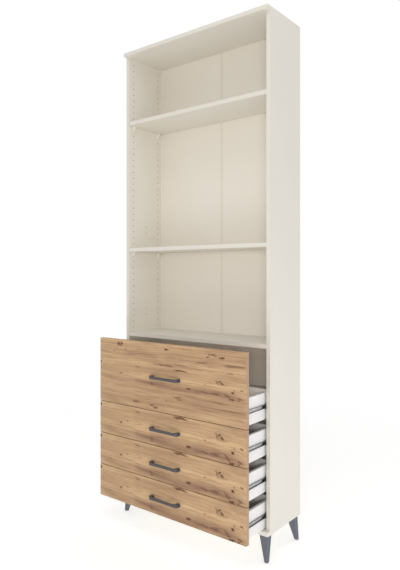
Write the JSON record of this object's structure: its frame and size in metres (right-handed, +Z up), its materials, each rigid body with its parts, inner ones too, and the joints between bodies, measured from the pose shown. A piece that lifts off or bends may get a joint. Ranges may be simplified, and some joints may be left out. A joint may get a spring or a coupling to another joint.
{
  "type": "bookcase with drawers",
  "caption": "Tall open bookcase in pale beige board on splayed tapered legs, with adjustable shelves above and oak-faced drawers on ball-bearing runners below.",
  "frame": {"origin": "on the floor, in the middle of the floor space that the bookcase takes with its drawers pulled out as in the picture", "axes": "+X to the right as seen from the front, +Y to the back, +Z up"},
  "size_m": [0.89, 0.487, 2.431],
  "materials": {
    "carcass_board": "smooth matt beige melamine facing",
    "back_board": "thin fibreboard, beige lacquer",
    "oak_front": "knotty oak decor with level grain",
    "drawer_board": "smooth white foil",
    "drawer_base": "thin fibreboard, white lacquer",
    "handle_metal": "satin anthracite paint",
    "runner_steel": "bright zinc plating",
    "cage_plastic": "black moulded plastic",
    "leg_plastic": "matt dark grey",
    "support_plastic": "whitish moulded plastic",
    "joiner_plastic": "beige extruded strip",
    "fixing_steel": "zinc plating"
  },
  "bodies": {
    "carcass": {"left_side": "carcass_board", "right_side": "carcass_board", "top_panel": "carcass_board", "bottom_panel": "carcass_board", "fixed_shelf": "carcass_board", "middle_shelf": "carcass_board", "upper_shelf": "carcass_board", "back_panel_left": "back_board", "back_panel_right": "back_board", "back_joiner": "joiner_plastic", "cap_screws": "fixing_steel", "cam_locks": "fixing_steel", "cam_bolts": "fixing_steel", "leg_studs": "fixing_steel", "shelf_supports": "support_plastic", "leg_front_left": "leg_plastic", "leg_front_right": "leg_plastic", "leg_back_right": "leg_plastic", "leg_back_left": "leg_plastic", "cabinet_runners_left": "runner_steel", "cabinet_runners_right": "runner_steel"},
    "drawer_1": {"drawer_1_front": "oak_front", "drawer_1_back": "drawer_board", "drawer_1_bottom": "drawer_base", "drawer_1_left_side": "drawer_board", "drawer_1_right_side": "drawer_board", "drawer_1_handle": "handle_metal", "drawer_1_fixings": "fixing_steel", "drawer_1_runners": "runner_steel"},
    "cages_1": {"ball_cages_1": "cage_plastic"},
    "drawer_2": {"drawer_2_front": "oak_front", "drawer_2_back": "drawer_board", "drawer_2_bottom": "drawer_base", "drawer_2_left_side": "drawer_board", "drawer_2_right_side": "drawer_board", "drawer_2_handle": "handle_metal", "drawer_2_fixings": "fixing_steel", "drawer_2_runners": "runner_steel"},
    "cages_2": {"ball_cages_2": "cage_plastic"},
    "drawer_3": {"drawer_3_front": "oak_front", "drawer_3_back": "drawer_board", "drawer_3_bottom": "drawer_base", "drawer_3_left_side": "drawer_board", "drawer_3_right_side": "drawer_board", "drawer_3_handle": "handle_metal", "drawer_3_fixings": "fixing_steel", "drawer_3_runners": "runner_steel"},
    "cages_3": {"ball_cages_3": "cage_plastic"},
    "drawer_4": {"drawer_4_front": "oak_front", "drawer_4_back": "drawer_board", "drawer_4_bottom": "drawer_base", "drawer_4_left_side": "drawer_board", "drawer_4_right_side": "drawer_board", "drawer_4_handle": "handle_metal", "drawer_4_fixings": "fixing_steel", "drawer_4_runners": "runner_steel"},
    "cages_4": {"ball_cages_4": "cage_plastic"}
  },
  "joints": [
    {"name": "drawer_1_slide", "type": "slide", "parent": "carcass", "child": "drawer_1", "axis": [0, -1, 0], "range_m": [-0.165, 0.015]},
    {"name": "cage_1_slide", "type": "slide", "parent": "carcass", "child": "cages_1", "axis": [0, -1, 0], "range_m": [-0.0825, 0.0075]},
    {"name": "drawer_2_slide", "type": "slide", "parent": "carcass", "child": "drawer_2", "axis": [0, -1, 0], "range_m": [-0.165, 0.015]},
    {"name": "cage_2_slide", "type": "slide", "parent": "carcass", "child": "cages_2", "axis": [0, -1, 0], "range_m": [-0.0825, 0.0075]},
    {"name": "drawer_3_slide", "type": "slide", "parent": "carcass", "child": "drawer_3", "axis": [0, -1, 0], "range_m": [-0.165, 0.015]},
    {"name": "cage_3_slide", "type": "slide", "parent": "carcass", "child": "cages_3", "axis": [0, -1, 0], "range_m": [-0.0825, 0.0075]},
    {"name": "drawer_4_slide", "type": "slide", "parent": "carcass", "child": "drawer_4", "axis": [0, -1, 0], "range_m": [-0.165, 0.015]},
    {"name": "cage_4_slide", "type": "slide", "parent": "carcass", "child": "cages_4", "axis": [0, -1, 0], "range_m": [-0.0825, 0.0075]}
  ],
  "couplings": [
    {"joint": "cage_1_slide", "follows": "drawer_1_slide", "ratio": 0.5},
    {"joint": "cage_2_slide", "follows": "drawer_2_slide", "ratio": 0.5},
    {"joint": "cage_3_slide", "follows": "drawer_3_slide", "ratio": 0.5},
    {"joint": "cage_4_slide", "follows": "drawer_4_slide", "ratio": 0.5}
  ]
}
